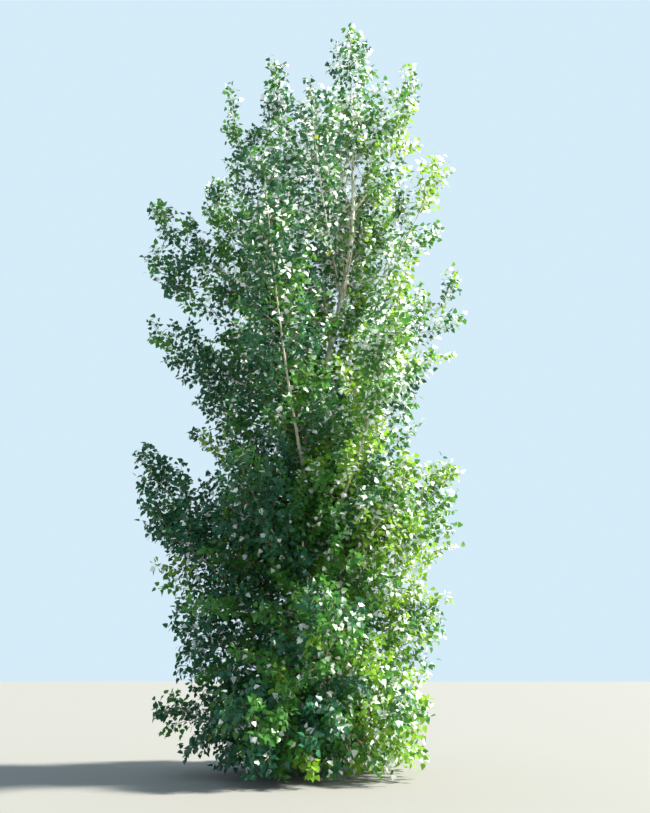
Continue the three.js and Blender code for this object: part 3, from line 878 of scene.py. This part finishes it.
def branchlet_places(limb, index, start, end, step, random):
    """Places along a stretch of a limb, one at random in each even step. Returns the place, direction,
    limb, share of the stem and whether it is an inner one of each."""
    step *= between(LOW_STEP_SHARE, 1, smooth_step(limb.points[-1, 2], *LOW_LIMBS_END))
    count = int(limb.length * (end - start) / step)
    share = between(start, end, (np.arange(count) + random.random(count)) / count)
    along_stem = np.maximum(share - limb.stem_from, 0) / max(1 - limb.stem_from, TINY)
    inner = np.full(count, start < limb.stem_from)
    return limb.at(share), limb.along(share), np.full(count, index), along_stem, inner


def stance(kind, share, turn, random):
    """Angles of twigs from their carrier, wide at its foot and steep at its tip, and their turns about
    it, both varied a little."""
    count = len(share)
    angle = between(*kind.angles, share) * between(*kind.angles_vary, random.random(count))
    return angle, turn + random.normal(0, kind.turns_vary, count)


def varied(lengths, kind, random):
    """Lengths of twigs, each times a random number between the two of its kind."""
    return lengths * between(*kind.lengths_vary, random.random(len(lengths)))


def grow_branchlets(settings):
    """Branchlets stand along each stem at even steps and at the golden angle, wide at its foot and steep
    at its tip, and reach the edge of the mass. Shorter ones stand on the boughs and on the trunk."""
    random = np.random.default_rng(BRANCHLET_SEED)
    step = settings.branchlet_step
    last = len(LIMBS) - 1
    groups = [branchlet_places(TRUNK, last, *TRUNK_TWIGS, step, random)]
    for index, limb in enumerate(LIMBS):
        start = between(limb.stem_from, 1, BRANCHLETS.stretch[0])
        groups.append(branchlet_places(limb, index, start, BRANCHLETS.stretch[1], step, random))
        if limb.is_bough:
            start = limb.stem_from * INNER_FROM
            groups.append(branchlet_places(limb, index, start, limb.stem_from, step, random))
    places = list(map(np.concatenate, zip(*groups)))
    root, _, owner, share, _ = places
    sunny = smooth_step(root[:, 0] - trunk_middle(root[:, 2])[:, 0], *SUNNY_FROM_TO)
    sunny *= smooth_step(root[:, 2], *SUNNY_HEIGHTS)
    far = MASS_WIDTHS[owner] == FAR_MASS_WIDTH
    chance = between(1, TIP_KEPT, share) * between(1, SUNNY_KEPT, sunny) * np.where(far, FAR_KEPT, 1)
    kept = random.random(len(root)) < chance
    root, tangent, owner, share, inner, far = (part[kept] for part in (*places, far))
    angle, turn = stance(BRANCHLETS, share, GOLDEN_ANGLE * np.arange(len(root)), random)
    height = smooth_step(root[:, 2], *FOOT_HEIGHTS)
    room = MASS_WIDTHS[owner] / 2 * spindle(share) + TIP_ROOM
    room *= between(1, np.where(far, FAR_TIP_ROOM, 1), share)
    room *= between(FOOT_ROOM, 1, height)
    room = np.where(inner, between(*INNER_REACH, height), room)
    length = varied(room / np.sin(angle), BRANCHLETS, random)
    directions = turned(tangent, angle, turn)
    points = BRANCHLETS.points
    paths, placed = fitted_paths(root, directions, length, settings.lift, points, owner, inner)
    return paths[placed], owner[placed], inner[placed]


def grow_shoots(branchlets, owner, inner, settings):
    """Shoots stand along each branchlet in the same way, shorter towards its tip."""
    random = np.random.default_rng(SHOOT_SEED)
    longest, counts, carrier, order = stations(branchlets, settings.shoot_step)
    share = between(*SHOOTS.stretch, (order + random.random(len(carrier))) / counts)
    root, tangent = on_paths(branchlets, carrier, share)
    angle, turn = stance(SHOOTS, share, GOLDEN_ANGLE * order + carrier, random)
    length = varied(between(settings.shoot_longest, settings.shoot_shortest, share), SHOOTS, random)
    length = np.minimum(length, longest * SHOOT_MOST)
    directions = turned(tangent, angle, turn)
    lift, points = settings.lift, SHOOTS.points
    paths, placed = fitted_paths(root, directions, length, lift, points, owner[carrier], inner[carrier])
    return paths[placed], carrier[placed]


def twig_surface(paths, root_radius, sides):
    """Thin tubes that taper evenly from the root radius to a share of it, closed at both ends, with the
    grain and age of their points as on the limbs."""
    count, points = paths.shape[:2]
    taper = between(1, TWIG_END_SHARE, np.linspace(0, 1, points))
    radii = np.broadcast_to(root_radius * taper, (count, points))
    rings = tube_rings(paths, radii[..., None], sides)[:, :-1]
    way = np.linspace(0, TWIG_GRAIN, points)[:-1, None, None]
    row = np.arange(count)[:, None, None, None]
    grain = circle(sides) * root_radius + UP * (way + row)
    age = np.random.default_rng(AGE_SEED).random(count) * TWIG_AGE
    values = {"grain": with_ends(grain, count), "age": np.repeat(age, (points - 1) * sides + 2)}
    return *closed_tubes(rings, paths[:, 0], paths[:, -1]), values


def leaf_stations(settings, twigs):
    """Where leaves stand: at even steps on the shoots, on the outer part of the branchlets and on the
    stems' tips. Returns the place, direction, order and spray of each."""
    branchlets, owner, inner = grow_branchlets(twigs)
    shoots, shoot_branchlet = grow_shoots(branchlets, owner, inner, twigs)
    tip_shares = np.linspace(STEM_TIP_FROM, 1, STEM_TIP_POINTS)
    tips = np.array([limb.at(between(limb.stem_from, 1, tip_shares)) for limb in LIMBS])
    carriers = (shoots, branchlets, tips)
    branchlet_sprays = np.arange(len(branchlets))
    tip_sprays = len(branchlets) + np.arange(len(LIMBS))
    sprays = (shoot_branchlet, branchlet_sprays, tip_sprays)
    groups = []
    for paths, spray, first in zip(carriers, sprays, LEAVES_FROM):
        _, counts, carrier, order = stations(paths, settings.spacing, 1 - first)
        share = between(first, 1, (order + FIRST_LEAF) / (counts - 1 + FIRST_LEAF))
        groups.append((*on_paths(paths, carrier, share), order + carrier * TURN_BY_CARRIER, spray[carrier]))
    return tuple(map(np.concatenate, zip(*groups)))


def in_gap(points):
    """Whether points lie in the gap along the trunk."""
    from_middle = points - trunk_middle(points[:, 2])
    level = points[:, 2] - from_middle[:, 1] * GAP_SLOPE
    bottom = np.where(from_middle[:, 1] < 0, GAP_FROM, GAP_THROUGH_FROM)
    return (np.abs(from_middle[:, 0]) < GAP_HALF_WIDTH) & (level > bottom) & (level < GAP_TO)


def lay_leaves(settings, twigs):
    """Every leaf: its stalk leaves the twig at the golden angle, and its blade goes on from the stalk,
    drooping a little, with its face turned to the light. Returns arrays by name."""
    random = np.random.default_rng(LEAF_SEED)
    place, tangent, order, spray = leaf_stations(settings, twigs)
    if len(place) > settings.most:
        kept = np.sort(random.permutation(len(place))[: settings.most])
        place, tangent, order, spray = place[kept], tangent[kept], order[kept], spray[kept]
    count = len(place)
    angle = between(*STALK_ANGLES, random.random(count))
    turn = GOLDEN_ANGLE * order + random.normal(0, STALK_TURNS_VARY, count)
    stalk_direction = turned(tangent, angle, turn)
    stalk_length = settings.stalk * between(*STALK_LENGTHS_VARY, random.random(count))
    foot = place + stalk_direction * stalk_length[:, None]
    direction = unit(stalk_direction - UP * BLADE_DROOP + random.normal(0, BLADE_VARIES, (count, 3)))
    outward = place - trunk_middle(place[:, 2])
    outward[:, 2] = 0
    facing = UP * FACES_UP + unit(outward) * FACES_OUT + random.normal(0, FACES_VARY, (count, 3))
    normal = unit(facing - direction * (facing * direction).sum(axis=1, keepdims=True))
    length = between(settings.shortest, settings.longest, random.beta(*BETA_OF_LENGTHS, count))
    inside = in_reach(foot) & in_reach(foot + direction * length[:, None])
    inside &= ~in_gap(foot) | (random.random(count) < GAP_KEPT)
    leaves = {
        "root": place,
        "foot": foot,
        "direction": direction,
        "normal": normal,
        "length": length,
        "wide": between(*BLADE_WIDTHS, random.random(count)),
        "curl": between(*BLADE_CURLS, random.random(count)),
        "spray": spray,
    }
    return {label: value[inside] for label, value in leaves.items()}


def leaf_surface(leaves, chosen):
    """Blades from one outline: along the leaf, across it by its width and up by its curl. Each has a
    folded midrib and six triangles."""
    left = np.array(LEAF_EDGE)
    outline = np.concatenate([LEAF_MIDRIB, left, left * (1, -1, 1)])
    foot, direction, normal = (leaves[label][chosen][:, None] for label in ("foot", "direction", "normal"))
    length, wide, curl = (leaves[label][chosen][:, None, None] for label in ("length", "wide", "curl"))
    across = np.cross(normal, direction)
    along, side, up = outline[:, 0, None], outline[:, 1, None], outline[:, 2, None]
    points = foot + length * (direction * along + across * side * wide + normal * up * curl)
    count = len(foot)
    triangles = np.array(LEAF_TRIANGLES) + np.arange(count)[:, None, None] * len(outline)
    on_leaf = np.tile(outline[:, [1, 0]] + (0.5, 0), (count, 1))
    return points.reshape(-1, 3), triangles.reshape(-1, 3), {"leaf": on_leaf}


def stalk_surface(leaves, width):
    """Flat stalks: one thin triangle from the twig that widens to the foot of each blade."""
    side = unit(np.cross(leaves["foot"] - leaves["root"], leaves["normal"])) * width / 2
    points = np.stack([leaves["root"], leaves["foot"] + side, leaves["foot"] - side], axis=1)
    return points.reshape(-1, 3), np.arange(3 * len(side)).reshape(-1, 3)


def tint_chance(on_side, height, least, more, less_high_up):
    """A tint's chance: its least, and more of it on its own side, but less high up."""
    return least + more * on_side * (1 - less_high_up * height)


def deal_tints(leaves, settings):
    """Deals each spray a tint by chance: blue-green mostly on the left, yellow-green mostly on the right
    and low down, and mid-green between. The blue-green is partly painted shade and a painted sheen of the
    sky on the shaded side, and the yellow-green is partly painted sunlight on the sunny side. Single leaves
    are pale, partly real pale undersides and partly painted glints, more so at the top and on the right, or
    yellow."""
    random = np.random.default_rng(TINT_SEED)
    spray = leaves["spray"]
    count = int(spray.max()) + 1
    each = np.maximum(np.bincount(spray, minlength=count), 1)
    middle = np.stack([np.bincount(spray, line, count) / each for line in leaves["foot"].T], axis=-1)
    side = (middle[:, 0] - trunk_middle(middle[:, 2])[:, 0]) / CROWN_HALF_WIDTH
    height = smooth_step(middle[:, 2], *TINT_HEIGHTS)
    # Painted light and shade by side: yellow-green goes to the sunny right and blue-green to the shaded
    # left, both over real leaf greens.
    fresh_and_sunlit_chance = tint_chance(smooth_step(side, *FRESH_AND_SUNLIT_ACROSS), height, *FRESH_AND_SUNLIT_CHANCE)
    deep_and_shaded_chance = tint_chance(1 - smooth_step(side, *DEEP_AND_SHADED_ACROSS), height, *DEEP_AND_SHADED_CHANCE)
    draw = random.random(count)
    tint = np.where(draw < fresh_and_sunlit_chance, FRESH_AND_SUNLIT, np.where(draw > 1 - deep_and_shaded_chance, DEEP_AND_SHADED, MIDDLE))[spray]
    # Pale leaves, partly painted glints and partly real undersides, are dealt more often on the sunny side
    # and high up.
    sunny = smooth_step(PALE_AND_GLINT_BY_SIDE * side + smooth_step(middle[:, 2], *PALE_AND_GLINT_HEIGHTS), *PALE_AND_GLINT_FROM_TO)
    single = random.random(len(spray))
    tint[single < between(settings.pale_and_glint_low, settings.pale_and_glint_top, sunny)[spray]] = PALE_AND_GLINT
    tint[single > 1 - settings.yellow_share] = YELLOW
    return tint


class POPLAR_OT_trunk(Operator):
    """Make the trunk with its furrowed bark"""

    bl_idname = "poplar.trunk"
    bl_label = "Trunk"

    def execute(self, context):
        settings = context.scene.poplar_trunk
        material = furrowed_bark("trunk bark", settings)
        add_piece("trunk_bark", trunk_surface(settings), material, ["trunk"])
        return {"FINISHED"}


class POPLAR_OT_limbs(Operator):
    """Make the boughs and the stems of the masses, from the trunk to their tips"""

    bl_idname = "poplar.limbs"
    bl_label = "Limbs"

    def execute(self, context):
        settings = context.scene.poplar_limbs
        material = smooth_bark("limb bark", settings.bark_colour, settings.shade_colour, LIMB_MARKS)
        add_piece("limb_bark", limb_surface(settings), material, BOUGH_NODES)
        return {"FINISHED"}


class POPLAR_OT_twigs(Operator):
    """Grow the branchlets and the leafy shoots"""

    bl_idname = "poplar.twigs"
    bl_label = "Twigs"

    def execute(self, context):
        settings = context.scene.poplar_twigs
        branchlets, owner, inner = grow_branchlets(settings)
        shoots, _ = grow_shoots(branchlets, owner, inner, settings)
        grey = toned(settings.branchlet_colour, OLD_TWIG_TONE)
        kinds = (
            ("branchlets", branchlets, settings.branchlet_radius, settings.branchlet_colour, grey),
            ("shoots", shoots, settings.shoot_radius, settings.shoot_colour, settings.branchlet_colour),
        )
        for (name, paths, radius, pale, old), kind in zip(kinds, (BRANCHLETS, SHOOTS)):
            surface = twig_surface(paths, radius, kind.sides)
            material = smooth_bark(f"{name} bark", pale, old, TWIG_MARKS)
            add_piece(name, surface, material, FOLIAGE_NODES)
        return {"FINISHED"}


class POPLAR_OT_leaves(Operator):
    """Lay the leaves and their stalks on the twigs, in pieces by tint"""

    bl_idname = "poplar.leaves"
    bl_label = "Leaves"

    def execute(self, context):
        settings = context.scene.poplar_leaves
        leaves = lay_leaves(settings, context.scene.poplar_twigs)
        tint = deal_tints(leaves, settings)
        for index, (name, (gain, glow)) in enumerate(TINTS.items()):
            leaf_colour = getattr(settings, name.replace("leaves", "colour"))
            glow_colour = toned(leaf_colour, gain, GLOW_LEAST)
            finish = leaf_finish(name.replace("_", " "), leaf_colour, glow_colour, glow)
            add_piece(name, leaf_surface(leaves, tint == index), finish, FOLIAGE_NODES)
        stalks = stalk_surface(leaves, settings.stalk_width)
        finish = leaf_finish("leaf stalks", settings.stalk_colour, settings.stalk_colour, STALK_GLOW)
        add_piece("leaf_stalks", stalks, finish, FOLIAGE_NODES)
        return {"FINISHED"}


class POPLAR_OT_stage(Operator):
    """Set the floor, the light and the camera"""

    bl_idname = "poplar.stage"
    bl_label = "Stage"

    def execute(self, context):
        settings = context.scene.poplar_stage
        rim = circle(FLOOR_SIDES) * settings.floor_radius
        points = np.concatenate([rim, [[0, 0, 0]]]) - UP * FLOOR_DROP
        side = np.arange(FLOOR_SIDES)
        triangles = np.stack([0 * side + FLOOR_SIDES, side, (side + 1) % FLOOR_SIDES], axis=-1)
        floor = new_piece("floor", points, triangles)
        finish = Finish("floor")
        speckle = finish.noise(finish.place(), 0.6)
        light = toned(settings.floor_colour, 1.03)
        paint = finish.blend(speckle, settings.floor_colour, light)
        floor.data.materials.append(finish.done(finish.surface(paint, 0.9)))

        world = bpy.data.worlds.new("air")
        world.use_nodes = True
        air = world.node_tree.nodes["Background"]
        air.inputs["Color"].default_value = (*settings.air_colour, 1)
        air.inputs["Strength"].default_value = settings.air_strength
        context.scene.world = world

        lamp = bpy.data.lights.new("sun", "SUN")
        lamp.color = settings.sun_colour
        lamp.energy = settings.sun_strength
        lamp.angle = settings.sun_size
        in_scene("sun", lamp).rotation_euler = np.radians(SUN_TURN)

        camera = in_scene("camera", bpy.data.cameras.new("camera"))
        camera.data.lens = settings.lens
        camera.data.clip_end = 2 * settings.floor_radius
        camera.location = (settings.eye_across, -settings.eye_away, settings.eye_height)
        camera.rotation_euler = (np.pi / 2 + settings.eye_pitch, 0, 0)
        context.scene.camera = camera
        context.scene.view_settings.view_transform = "Standard"
        return {"FINISHED"}


class POPLAR_PT_panel(Panel):
    """Lists the tree's pieces and their sizes and colours"""

    bl_idname = "POPLAR_PT_panel"
    bl_label = "Poplar"
    bl_space_type = "VIEW_3D"
    bl_region_type = "UI"
    bl_category = "Poplar"

    def draw(self, context):
        for name, (settings, operator) in PARTS.items():
            box = self.layout.box()
            box.operator(operator.bl_idname)
            for label in settings.__annotations__:
                box.prop(getattr(context.scene, name), label)


PARTS = {
    "poplar_stage": (StageSettings, POPLAR_OT_stage),
    "poplar_trunk": (TrunkSettings, POPLAR_OT_trunk),
    "poplar_limbs": (LimbSettings, POPLAR_OT_limbs),
    "poplar_twigs": (TwigSettings, POPLAR_OT_twigs),
    "poplar_leaves": (LeafSettings, POPLAR_OT_leaves),
}
CLASSES = (*(item for pair in PARTS.values() for item in pair), POPLAR_PT_panel)


def register():
    for item in CLASSES:
        bpy.utils.register_class(item)
    for name, (settings, _) in PARTS.items():
        setattr(bpy.types.Scene, name, PointerProperty(type=settings))


def unregister():
    for name in PARTS:
        delattr(bpy.types.Scene, name)
    for item in reversed(CLASSES):
        bpy.utils.unregister_class(item)


def main():
    register()
    bpy.ops.poplar.stage()
    bpy.ops.poplar.trunk()
    bpy.ops.poplar.limbs()
    bpy.ops.poplar.twigs()
    bpy.ops.poplar.leaves()


if __name__ == "__main__":
    main()
